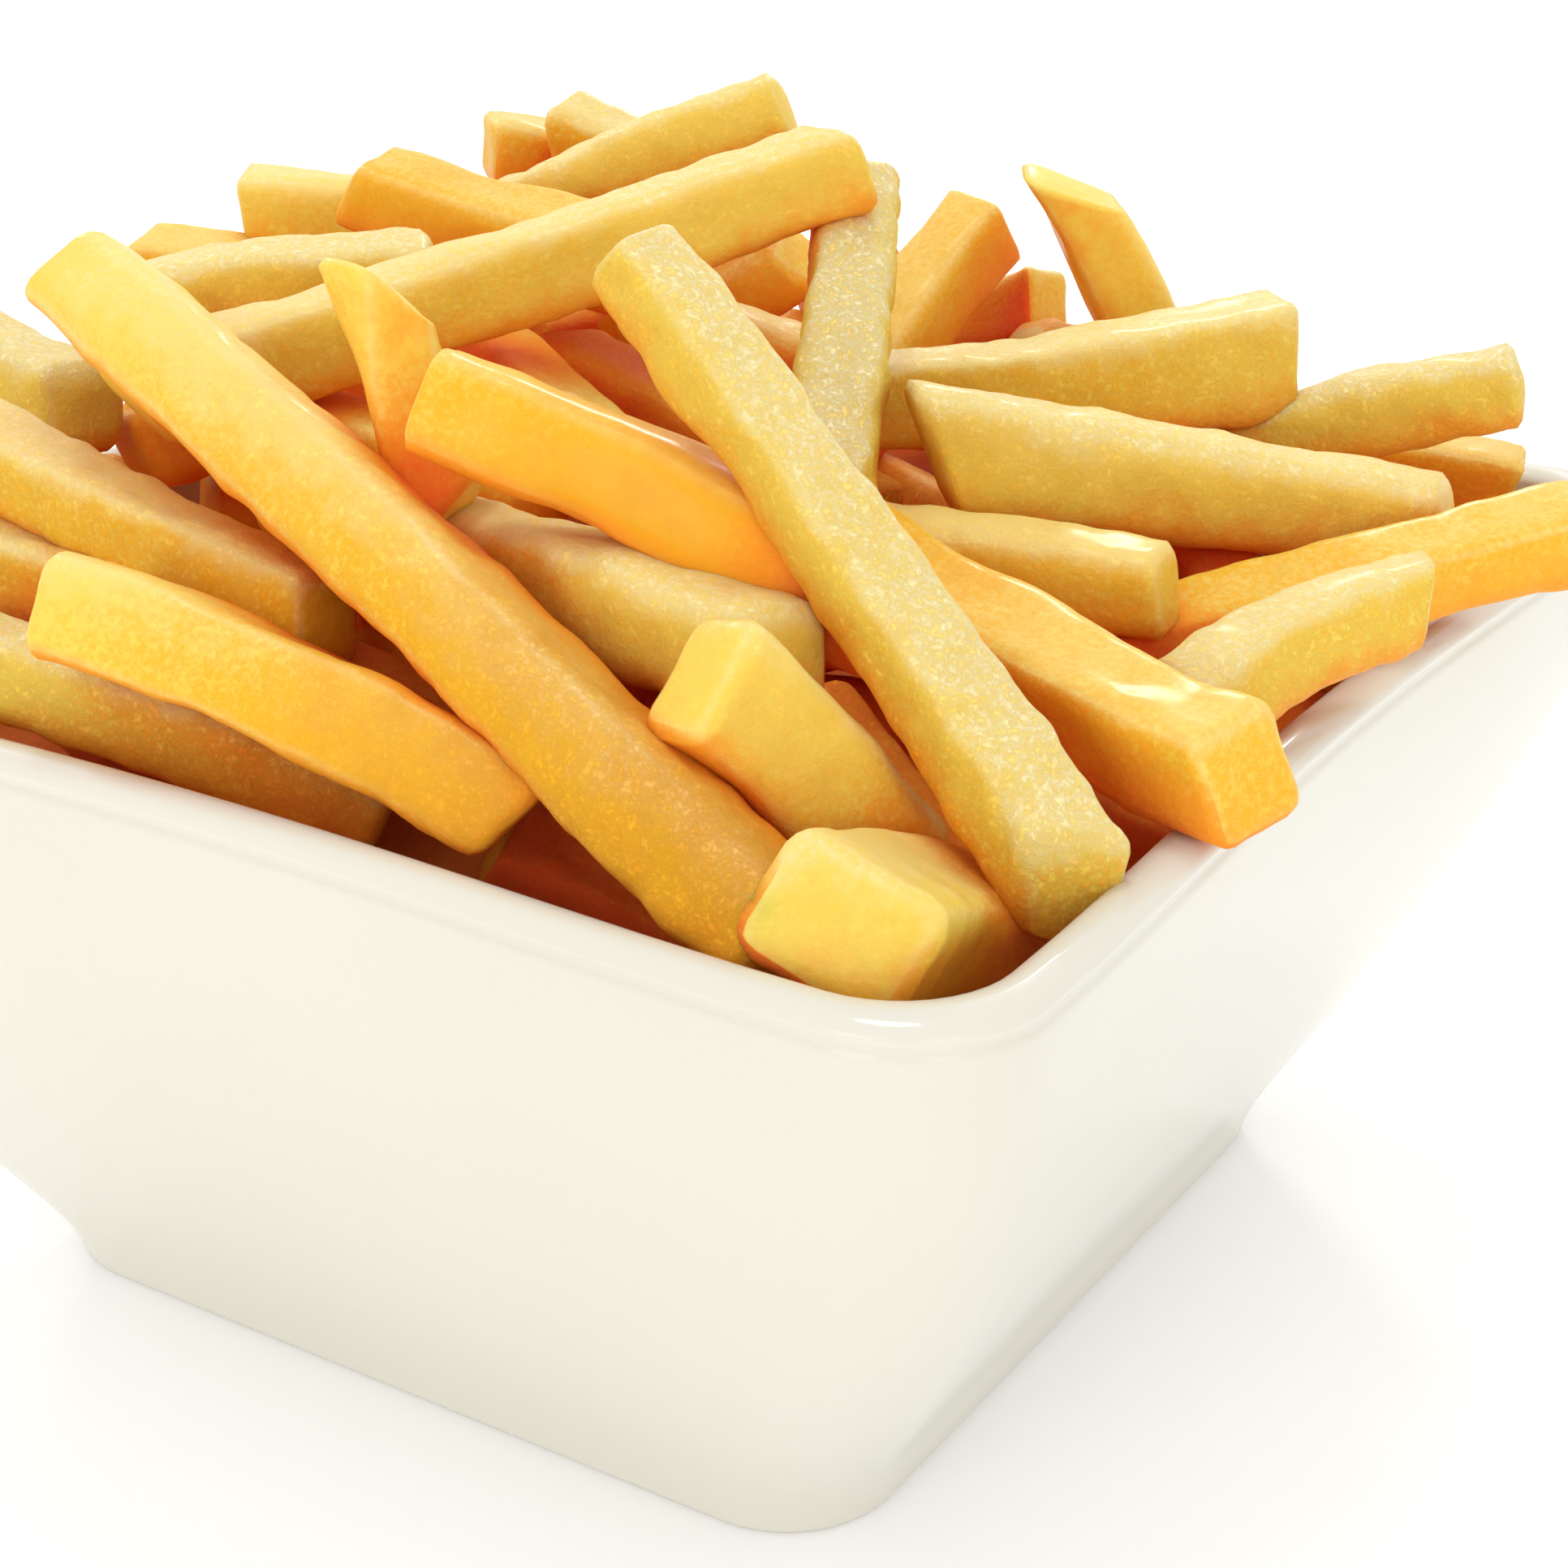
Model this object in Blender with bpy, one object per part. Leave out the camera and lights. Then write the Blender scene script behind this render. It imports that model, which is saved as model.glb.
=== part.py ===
"""French fries portion: a square flared porcelain dish, heaped with thick-cut potato fries.

The script makes two solids, in metres, +Z up. The dish stands on z = 0 with its middle on the origin.
  dish        glazed porcelain: a low square foot, walls that flare up to a rounded lip
  fries_heap  the whole heap as one solid, out to the uneven outline that its fries give it
"""

import math

import bmesh
import bpy
import numpy as np
from mathutils import Matrix, Vector

MM = 0.001

# Dish
BASE_SIDE = 90 * MM  # square foot, side to side
RIM_SIDE = 145 * MM  # square lip, corner side to corner side
DISH_HEIGHT = 68 * MM
FOOT_HEIGHT = 3 * MM
FOOT_EDGE = 0.8 * MM  # chamfer that the foot stands on
BASE_CORNER = 10.6 * MM  # corner radius at the foot
RIM_CORNER = 11 * MM  # corner radius at the lip
SIDE_HOLLOW = 2.3 * MM  # how far the middle of a rim side stands in from its ends
FLARE_POWER = 1.7  # over 1: the wall leans out most at the foot and stands up towards the lip
WALL = 2.7 * MM
WALL_EXTRA = 0.4  # share by which the wall is thicker at the foot
FLOOR = 7 * MM  # height of the floor inside
FLOOR_FILLET = 12 * MM
WALL_STEPS = 9
LIP_STEPS = 6
FILLET_STEPS = 4
SIDE_STEPS = 6
CORNER_STEPS = 5

# Heap
GAP = 0.35 * MM  # left free between the dish and the fries
HEAP_TOP = 27 * MM  # how far the heap's middle stands over the lip
HEAP_MIDDLE = (-12 * MM, -6 * MM)
HEAP_REACH = 80 * MM  # from the middle of the heap to where it is down to the lip
EDGE_TOP = 2 * MM  # how far the heap's edge and corners stand over the lip
CORE_GAP = 0.9 * MM  # between the dish and the packed core under the fries
CORE_DEPTH = 19 * MM  # how deep the core lies under the heap's surface
CORE_EDGE = 12 * MM  # how far the core's edge stays below the lip
CORE_STEPS = 6
EDGE_CUT = 0.22  # chamfer of a fry's long edges, as a share of its thickness
END_SLANT = 0.35  # how far a fry's end leans, as a share of its thickness
PRESSED = 1.4 * MM  # added to each thickness, so that fries that lie on each other join

# The fries on the outside of the heap, in millimetres: start, end, thickness and turn in degrees.
LAID = (
    # on top, across the front
    ((-35, -39, 98), (52, -62, 66), 8.3, 15),
    ((21, -35, 106), (66, -46, 68), 7.6, 10),
    ((-29, -40, 87), (14, 9, 104), 8.4, 0),
    ((9, -46, 95), (45, -35, 80), 8.4, 0),
    ((-10, -34, 78), (43, -45, 79), 8.0, 0),
    ((-1, -43, 103), (6, -40, 83), 7.4, 20),
    # in the near corner
    ((41, -55, 81), (50, -42, 62), 7.8, 30),
    ((58, -62, 69), (60, -36, 59), 9.0, 0),
    ((50, -28, 65), (64, -16, 57), 7.6, 0),
    ((33, -29, 68), (52, -33, 58), 7.6, 0),
    # along the front side
    ((-48, -45, 84), (2, -50, 76), 8.0, 0),
    ((-46, -52, 76), (14, -48, 67), 8.0, 0),
    ((-15, -62, 78), (28, -59, 68), 8.2, 0),
    ((-33, -63, 72), (9, -53, 61), 8.2, 0),
    ((-70, -24, 84), (-48, -26, 80), 8.0, 0),
    ((19, -53, 62), (40, -52, 56), 7.6, 0),
    # along the right side
    ((12, 4, 83), (43, 42, 84), 8.0, 0),
    ((30, 35, 71), (65, 46, 83), 7.6, 0),
    ((28, -3, 83), (67, 28, 74), 8.4, 0),
    ((21, -10, 76), (55, -7, 76), 8.0, 0),
    ((40, -16, 67), (78, 28, 76), 7.6, 0),
    ((62, -22, 71), (74, 2, 77), 7.4, 0),
    ((28, -16, 77), (72, -32, 73), 8.4, 0),
    # on top, towards the back and the left
    ((-51, -19, 88), (-20, -8, 93), 7.6, 0),
    ((-60, 9, 92), (-34, 14, 90), 8.0, 0),
    ((-43, 7, 97), (-3, 8, 92), 8.6, 0),
    ((-46, 32, 96), (-34, 43, 91), 7.0, 0),
    ((-38, 35, 98), (-18, 38, 92), 7.4, 0),
    ((-35, 19, 92), (-7, 30, 104), 7.8, 0),
    ((-19, 20, 80), (-5, 33, 90), 7.6, 0),
    ((-68, 0, 87), (-50, 6, 85), 7.2, 0),
    # standing up between the others
    ((11, 14, 99), (26, -15, 81), 7.6, 0),
    ((6, 50, 91), (2, 22, 70), 7.6, 0),
    ((-10, 64, 72), (11, 55, 82), 7.6, 0),
    ((18, 45, 96), (28, 60, 63), 7.8, 0),
    # deeper, in the gaps
    ((-20, -27, 83), (2, -22, 76), 7.6, 0),
    ((-15, -8, 86), (26, -24, 75), 7.6, 0),
    ((-3, 9, 86), (14, 20, 79), 7.6, 0),
    ((-46, 43, 84), (-18, 35, 86), 8.0, 0),
    ((31, 61, 66), (61, 62, 68), 7.4, 0),
    # over the lip, at the back and the left
    ((-3, 40, 84), (-30, 77, 72), 8.0, 20),
    ((-42, 24, 82), (-78, 14, 72), 7.6, 0),
    ((11, 45, 78), (27, 78, 72), 7.8, 10),
)

# Further fries are dropped one by one on a grid of heights, and stay where they find room.
SEED = 3
TRIES = 20000
SHORT_FROM = 0.6  # share of the tries after which only short fries are left
SHORTER = 0.62
FRY_LONG = (34 * MM, 78 * MM)
FRY_THICK = (6.8 * MM, 8.6 * MM)
FRY_STEPS = 13  # points along a fry at which its room is tested
DEEP = 34 * MM  # how deep under the heap's middle the first ones land
EDGE_DEEP = 15 * MM  # and how deep under the lip
DROP_AREA = 70 * MM  # half side of the square over which they fall
OVER_TOP = 4 * MM  # how far one may stand over the heap's surface
OVER_LIP = 66 * MM  # half side of the square that they stay in over the lip
STEEPEST = 0.6  # slope
CLEAR_OVER = 8 * MM  # width kept clear over a laid fry
CLOSEST = 0.9  # distance from a laid fry, as a share of their thickness
GRID_CELL = 2 * MM
GRID_HALF = 80 * MM


def clear_scene():
    for thing in list(bpy.data.objects):
        bpy.data.objects.remove(thing, do_unlink=True)


def collection(name, helper=False):
    made = bpy.data.collections.new(name)
    bpy.context.scene.collection.children.link(made)
    made.hide_render = helper
    return made


def finish(name, colour, roughness, coat=0.0):
    made = bpy.data.materials.new(name)
    made.use_nodes = True
    shader = made.node_tree.nodes["Principled BSDF"]
    shader.inputs["Base Color"].default_value = (*colour, 1)
    shader.inputs["Roughness"].default_value = roughness
    shader.inputs["Metallic"].default_value = 0.0
    shader.inputs["Coat Weight"].default_value = coat
    return made


def as_object(bm, name, where, helper=False):
    bmesh.ops.recalc_face_normals(bm, faces=bm.faces)
    mesh = bpy.data.meshes.new(name)
    bm.to_mesh(mesh)
    bm.free()
    made = bpy.data.objects.new(name, mesh)
    where.objects.link(made)
    if helper:
        made.hide_render = True
        made.display_type = "WIRE"
    return made


# ---- The dish --------------------------------------------------------------------------------


def climb(z):
    """0 at the top of the foot, 1 at the lip."""
    return min(max((z - FOOT_HEIGHT) / (DISH_HEIGHT - FOOT_HEIGHT), 0), 1)


def outer_section(z):
    """Half side, corner radius and hollow of the dish's outside at height z."""
    up = climb(z)
    lean = 1 - (1 - up) ** FLARE_POWER
    half = BASE_SIDE / 2 + (RIM_SIDE - BASE_SIDE) / 2 * lean
    return half, BASE_CORNER + (RIM_CORNER - BASE_CORNER) * lean, SIDE_HOLLOW * up


def inner_section(z):
    """The same for the inside, which the wall's thickness sets in."""
    half, corner, hollow = outer_section(z)
    thick = WALL * (1 + WALL_EXTRA * (1 - climb(z)) ** 2)
    return half - thick, corner - thick / 2, hollow


def section_points(half, corner, hollow, z, middle=(0, 0)):
    """One square ring with round corners, whose sides are drawn in by hollow at their middle."""
    points = []
    for quarter in range(4):
        turn = Matrix.Rotation(math.radians(90 * quarter), 3, "Z")
        straight = half - corner
        for step in range(SIDE_STEPS):
            share = -1 + 2 * step / SIDE_STEPS
            inset = hollow * (1 - share**2) ** 2
            points.append(turn @ Vector((half - inset, share * straight, 0)))
        for step in range(CORNER_STEPS):
            angle = math.radians(90 * step / CORNER_STEPS)
            reach = Vector((math.cos(angle), math.sin(angle), 0)) * corner
            points.append(turn @ (Vector((straight, straight, 0)) + reach))
    return [p + Vector((*middle, z)) for p in points]


def loft(rings):
    """A closed solid through rings of points, with its first and its last ring filled."""
    bm = bmesh.new()
    before = None
    for ring in rings:
        points = [bm.verts.new(p) for p in ring]
        edges = [bm.edges.new(pair) for pair in zip(points, points[1:] + points[:1])]
        if before:
            bmesh.ops.bridge_loops(bm, edges=before + edges)
        else:
            bm.faces.new(points)
        before = edges
    bm.faces.new(points)
    return bm


def dish_rings(grow=0.0):
    """From under the foot, up the outside, over the lip and down to the floor inside."""
    half, corner, _ = outer_section(0)
    rings = [
        (half - FOOT_EDGE + grow, corner - FOOT_EDGE, 0, -grow),
        (half + grow, corner, 0, FOOT_EDGE),
    ]
    lip = DISH_HEIGHT - WALL / 2
    for step in range(WALL_STEPS + 1):
        z = FOOT_HEIGHT + (lip - FOOT_HEIGHT) * step / WALL_STEPS
        half, corner, hollow = outer_section(z)
        rings.append((half + grow, corner + grow, hollow, z))
    half, corner, hollow = outer_section(lip)
    for step in range(1, LIP_STEPS + 1):
        angle = math.pi * step / LIP_STEPS
        out = (WALL / 2 + grow) * math.cos(angle) - WALL / 2
        rise = (WALL / 2 + grow) * math.sin(angle)
        rings.append((half + out, corner + out, hollow, lip + rise))
    bottom = FLOOR + FLOOR_FILLET
    for step in range(1, WALL_STEPS + 1):
        z = lip - (lip - bottom) * step / WALL_STEPS
        half, corner, hollow = inner_section(z)
        rings.append((half - grow, corner, hollow, z))
    half, corner, hollow = inner_section(bottom)
    for step in range(1, FILLET_STEPS + 1):
        angle = math.radians(90 * step / FILLET_STEPS)
        inset = FLOOR_FILLET * (1 - math.cos(angle)) + grow
        drop = FLOOR_FILLET * math.sin(angle)
        rings.append((half - inset, corner, hollow, bottom - drop + grow))
    return [section_points(*ring) for ring in rings]


def make_dish(where):
    dish = as_object(loft(dish_rings()), "dish", where)
    dish.data.materials.append(finish("cream_glaze", (0.88, 0.85, 0.76), 0.12, coat=0.6))
    dish.data.shade_smooth()
    dish.data.set_sharp_from_angle(angle=math.radians(40))
    return dish


# ---- The heap --------------------------------------------------------------------------------


def heap_surface(x, y):
    """Height of the heap's even surface; x and y may be arrays."""
    away = ((x - HEAP_MIDDLE[0]) ** 2 + (y - HEAP_MIDDLE[1]) ** 2) / HEAP_REACH**2
    return DISH_HEIGHT + np.maximum(HEAP_TOP * (1 - away), EDGE_TOP)


def room_half(z):
    """Half side of the room inside the dish at each height; above the lip, that of the lip."""
    up = np.clip((z - FOOT_HEIGHT) / (DISH_HEIGHT - FOOT_HEIGHT), 0, 1)
    lean = 1 - (1 - up) ** FLARE_POWER
    half = BASE_SIDE / 2 + (RIM_SIDE - BASE_SIDE) / 2 * lean
    return half - np.where(z < DISH_HEIGHT, WALL + SIDE_HOLLOW * up, 0)


def along(start, end):
    """Points along a fry."""
    share = np.linspace(0, 1, FRY_STEPS)[:, None]
    return np.array(start) * (1 - share) + np.array(end) * share


def empty_ground():
    """What the first further fries fall on: a mound inside the dish, its lip, and nothing outside."""
    line = np.arange(-GRID_HALF, GRID_HALF + GRID_CELL / 2, GRID_CELL)
    x, y = np.meshgrid(line, line, indexing="ij")
    edge = np.maximum(abs(x), abs(y))
    ground = np.maximum(heap_surface(x, y) - DEEP, DISH_HEIGHT - EDGE_DEEP)
    ground = np.where(edge > room_half(DISH_HEIGHT - MM), DISH_HEIGHT, ground)
    return np.where(edge > RIM_SIDE / 2, -GRID_HALF, ground)


def cells(x, y):
    last = round(2 * GRID_HALF / GRID_CELL)
    return tuple(np.clip(np.rint((v + GRID_HALF) / GRID_CELL).astype(int), 0, last) for v in (x, y))


def drop(ground, x, y, turn, length, thick):
    """Start, end and slope of a fry that comes to rest on the ground's highest points under it."""
    step = np.linspace(-length / 2, length / 2, int(length / GRID_CELL) | 1)
    way = np.array([math.cos(turn), math.sin(turn)])
    under = np.full(step.shape, -GRID_HALF)
    for side in (-0.4 * thick, 0, 0.4 * thick):
        at = cells(x + way[0] * step - way[1] * side, y + way[1] * step + way[0] * side)
        under = np.maximum(under, ground[at])
    under += thick / 2
    half = len(step) // 2
    near, far = step[:half, None], step[None, half + 1 :]
    low, high = under[:half, None], under[None, half + 1 :]
    middle = (low * far - high * near) / (far - near)
    a, b = np.unravel_index(np.argmax(middle), middle.shape)
    slope = (high[0, b] - low[a, 0]) / (far[0, b] - near[a, 0])
    reach = np.array([*way, slope]) * length / 2 / math.hypot(1, slope)
    centre = np.array([x, y, max(middle[a, b], under[half])])
    return centre - reach, centre + reach, slope


def raise_ground(ground, start, end, thick):
    """Raises the ground to the top of a fry that has come to rest."""
    length = np.linalg.norm(end - start)
    share = np.linspace(0, 1, int(length / MM) + 1)[:, None]
    points = start * (1 - share) + end * share
    way = (end - start)[:2] / np.linalg.norm((end - start)[:2])
    for side in np.linspace(-0.5, 0.5, 5) * thick:
        at = cells(points[:, 0] - way[1] * side, points[:, 1] + way[0] * side)
        shoulder = 1.0 if abs(side) < 0.3 * thick else 0.8
        np.maximum.at(ground, at, points[:, 2] + shoulder * thick / 2)


def has_room(points, thick, laid, laid_thick):
    """Whether a dropped fry is inside the heap, beside the laid ones and not on them."""
    x, y, z = points.T
    side = np.where(z > DISH_HEIGHT + thick / 2 - MM, OVER_LIP, room_half(z) - thick / 2)
    if (np.maximum(abs(x), abs(y)) > side).any():
        return False
    if (z + thick / 2 > heap_surface(x, y) + OVER_TOP).any():
        return False
    apart = points[:, None, None] - laid[None]
    if ((np.hypot(apart[..., 0], apart[..., 1]) < CLEAR_OVER) & (apart[..., 2] > -3 * MM)).any():
        return False
    near = np.linalg.norm(apart, axis=-1).min(axis=(0, 2))
    return (near >= (laid_thick + thick) / 2 * CLOSEST).all()


def further_fries(laid, laid_thick):
    dice = np.random.default_rng(SEED)
    ground, found = empty_ground(), []
    for number in range(TRIES):
        length = dice.uniform(*FRY_LONG) * (1 if number < TRIES * SHORT_FROM else SHORTER)
        thick = dice.uniform(*FRY_THICK)
        x, y = dice.uniform(-DROP_AREA, DROP_AREA, 2)
        turn, roll = dice.uniform(0, math.pi), dice.uniform(-30, 30)
        start, end, slope = drop(ground, x, y, turn, length, thick)
        if abs(slope) < STEEPEST and has_room(along(start, end), thick, laid, laid_thick):
            raise_ground(ground, start, end, thick)
            found.append((start, end, thick, roll))
    return found


def all_fries():
    laid = [(np.array(a) * MM, np.array(b) * MM, thick * MM, turn) for a, b, thick, turn in LAID]
    lines = np.array([along(start, end) for start, end, *_ in laid])
    return laid + further_fries(lines, np.array([thick for *_, thick, _ in laid]))


def fry(start, end, thick, turn, slant):
    """A straight bar with chamfered long edges, from start to end, its ends cut at a slant."""
    start, end = Vector(start), Vector(end)
    length = (end - start).length
    bm = bmesh.new()
    bmesh.ops.create_cube(bm, size=1)
    bmesh.ops.scale(bm, vec=(thick, thick, length), verts=bm.verts)
    long_edges = [e for e in bm.edges if abs(e.verts[0].co.z - e.verts[1].co.z) > length / 2]
    bmesh.ops.bevel(
        bm, geom=long_edges, offset=EDGE_CUT * thick, segments=1, profile=0.5, affect="EDGES", material=-1
    )
    for v in bm.verts:
        v.co.z += slant * v.co.x * (1 if v.co.z > 0 else -1)
    lie = (end - start).to_track_quat("Z", "Y").to_matrix().to_4x4()
    place = Matrix.Translation((start + end) / 2) @ lie @ Matrix.Rotation(math.radians(turn), 4, "Z")
    bmesh.ops.transform(bm, matrix=place, verts=bm.verts)
    return bm


def core_rings():
    """The packed middle of the heap: it fills the dish and rises to a low mound."""
    rings = []
    bottom = FLOOR + FLOOR_FILLET
    edge = DISH_HEIGHT - CORE_EDGE
    for z in (FLOOR + CORE_GAP, bottom, (bottom + edge) / 2, edge):
        half, corner, hollow = inner_section(max(z, bottom))
        inset = CORE_GAP + (FLOOR_FILLET if z < bottom else 0)
        rings.append((half - inset, corner, hollow, z, (0, 0)))
    widest, rise = rings[-1][0], HEAP_TOP - CORE_DEPTH + CORE_EDGE
    for step in range(1, CORE_STEPS):
        share = step / CORE_STEPS
        middle = (HEAP_MIDDLE[0] * share, HEAP_MIDDLE[1] * share)
        half = widest * (1 - share)
        height = edge + rise * (1 - (1 - share) ** 2)
        rings.append((half, half * (0.2 + 0.7 * share), SIDE_HOLLOW * (1 - share), height, middle))
    return [section_points(*ring) for ring in rings]


def cut_and_join(base, operation, others):
    """Applies one exact Boolean with a collection of helper solids."""
    step = base.modifiers.new(operation.lower(), "BOOLEAN")
    step.operation = operation
    step.operand_type = "COLLECTION"
    step.collection = others
    step.solver = "EXACT"
    graph = bpy.context.evaluated_depsgraph_get()
    mesh = bpy.data.meshes.new_from_object(base.evaluated_get(graph))
    base.modifiers.clear()
    base.data = mesh


def keep_largest_body(thing):
    """Drops offcuts that the dish's wall parted from the heap, and any sealed hollow inside it."""
    bm = bmesh.new()
    bm.from_mesh(thing.data)
    bmesh.ops.remove_doubles(bm, verts=bm.verts, dist=0.002 * MM)
    left, bodies = set(bm.verts), []
    while left:
        todo = [left.pop()]
        body = set(todo)
        while todo:
            for edge in todo.pop().link_edges:
                new = set(edge.verts) - body
                body |= new
                todo += new
        left -= body
        bodies.append(body)
    largest = max(bodies, key=len)
    bmesh.ops.delete(bm, geom=[v for v in bm.verts if v not in largest], context="VERTS")
    bmesh.ops.triangulate(bm, faces=bm.faces)
    bm.to_mesh(thing.data)
    bm.free()


def make_heap(where, bars, room):
    heap = as_object(loft(core_rings()), "fries_heap", where)
    for number, (start, end, thick, turn) in enumerate(all_fries()):
        slant = END_SLANT * (number % 3 - 1)
        bar = fry(start, end, thick + PRESSED, turn, slant)
        as_object(bar, f"bar_{number}", bars, helper=True)
    cut_and_join(heap, "UNION", bars)
    as_object(loft(dish_rings(GAP)), "dish_room", room, helper=True)
    cut_and_join(heap, "DIFFERENCE", room)
    keep_largest_body(heap)
    heap.data.materials.clear()
    heap.data.materials.append(finish("fried_potato", (0.83, 0.52, 0.13), 0.45))
    return heap


def main():
    clear_scene()
    portion = collection("french_fries_portion")
    bars = collection("fry_bars", helper=True)
    room = collection("room_for_dish", helper=True)
    make_dish(portion)
    make_heap(portion, bars, room)


main()
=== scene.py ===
"""A french fries portion: a square flared dish in cream glaze, heaped with thick-cut fried potatoes.

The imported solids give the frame, in metres, +Z up. The dish is made again with a finer skin, and the
heap's one solid gives way to the fries themselves, which lie over a smaller core.
"""

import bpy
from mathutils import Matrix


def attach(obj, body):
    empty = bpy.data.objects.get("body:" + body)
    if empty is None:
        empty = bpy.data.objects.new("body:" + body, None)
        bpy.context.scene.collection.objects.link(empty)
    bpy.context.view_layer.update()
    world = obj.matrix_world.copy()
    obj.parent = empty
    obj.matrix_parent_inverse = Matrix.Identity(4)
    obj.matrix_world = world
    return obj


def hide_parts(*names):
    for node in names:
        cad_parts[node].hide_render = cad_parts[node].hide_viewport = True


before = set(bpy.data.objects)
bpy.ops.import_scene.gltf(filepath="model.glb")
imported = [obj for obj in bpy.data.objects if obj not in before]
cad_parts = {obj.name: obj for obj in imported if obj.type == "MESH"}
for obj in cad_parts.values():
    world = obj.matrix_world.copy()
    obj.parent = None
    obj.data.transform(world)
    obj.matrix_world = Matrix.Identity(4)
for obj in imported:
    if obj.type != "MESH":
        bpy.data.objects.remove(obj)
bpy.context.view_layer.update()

import math

import bmesh
import bpy
import numpy as np
from mathutils import Matrix, Vector, noise
from mathutils.bvhtree import BVHTree

MM = 0.001

# Dish
BASE_SIDE = 90 * MM  # square foot, side to side
RIM_SIDE = 145 * MM  # square lip, corner side to corner side
DISH_HEIGHT = 68 * MM
FOOT_HEIGHT = 3 * MM
FOOT_EDGE = 0.8 * MM
FOOT_SOFT = 0.09  # how gently the wall turns out of the foot, as shares of the dish's height
FOOT_INSET = 0.02
LIP_SWELL = 1.7 * MM  # how much thicker the lip is than the wall; it swells inwards
SWELL_DEEP = 9 * MM
LIP_GROOVE = 0.3 * MM  # depth of a faint line round the outside, which sets the lip off
GROOVE_UNDER = 2.1 * MM
GROOVE_WIDE = 0.55 * MM
GROOVE_REACH = 2.5  # how far under the line its own rings start, in its widths
BASE_CORNER = 10.6 * MM
RIM_CORNER = 11 * MM
SIDE_HOLLOW = 2.3 * MM  # how far the middle of a rim side stands in from its ends
FLARE_POWER = 1.7  # over 1: the wall leans out most at the foot and stands up towards the lip
WALL = 2.7 * MM
WALL_EXTRA = 0.4  # how much thicker it is at the foot, as a share
FLOOR = 7 * MM
FLOOR_FILLET = 12 * MM
FOOT_STEPS = 4
WALL_FROM = FOOT_EDGE + 0.5 * MM  # height of the wall's first ring
WALL_SPREAD = 1.3  # over 1: its rings stand closer together at the foot
WALL_STEPS = 30
GROOVE_STEPS = 14
LIP_STEPS = 18
FILLET_STEPS = 6
SIDE_STEPS = 16
CORNER_STEPS = 10

# Heap
HEAP_TOP = 27 * MM  # how far the heap's middle stands over the lip
HEAP_MIDDLE = (-12 * MM, -6 * MM)
HEAP_REACH = 80 * MM
EDGE_TOP = 2 * MM
CORE_UNDER = 30 * MM  # how deep the core lies under the heap's surface
CORE_EDGE = 16 * MM  # how far its edge stays below the lip
CORE_GAP = 1.2 * MM
CORE_ROUND = (0.2, 0.9)  # corner radius as a share of its half side, at its edge and at its top
CORE_STEPS = 16

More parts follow.
